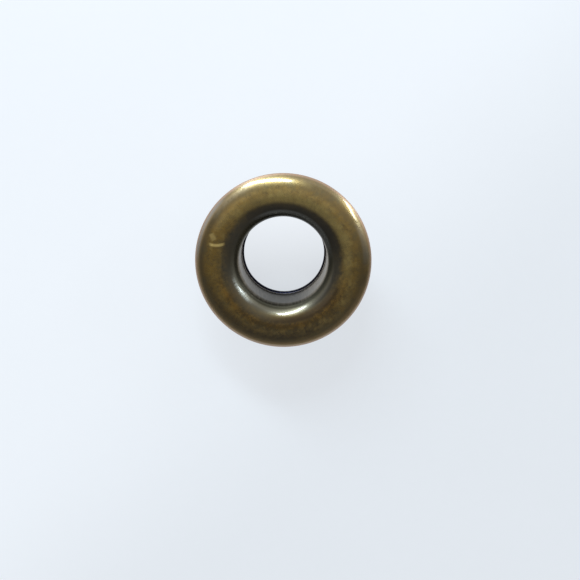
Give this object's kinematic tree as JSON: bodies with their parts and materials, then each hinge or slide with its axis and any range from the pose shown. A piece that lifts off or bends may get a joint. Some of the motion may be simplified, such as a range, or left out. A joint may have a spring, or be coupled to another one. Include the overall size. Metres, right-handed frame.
{
  "type": "eyelet",
  "caption": "Press eyelet of thin drawn brass: a straight barrel that rolls out into a hollow crowned flange with a turned-down lip, to line a punched hole.",
  "frame": {"origin": "centre of the barrel's end, on the eyelet's axis, where the end rests", "axes": "+Z along the axis from the barrel's end to the crown; the eyelet is round, so X and Y are any two directions across it"},
  "size_m": [0.016, 0.016, 0.006],
  "materials": {
    "antique_brass": "antiqued brass: rubbed golden brown on the crown, left nearly black in the throat, the barrel and the hollow underside"
  },
  "bodies": {
    "root": {"eyelet": "antique_brass"}
  },
  "joints": []
}
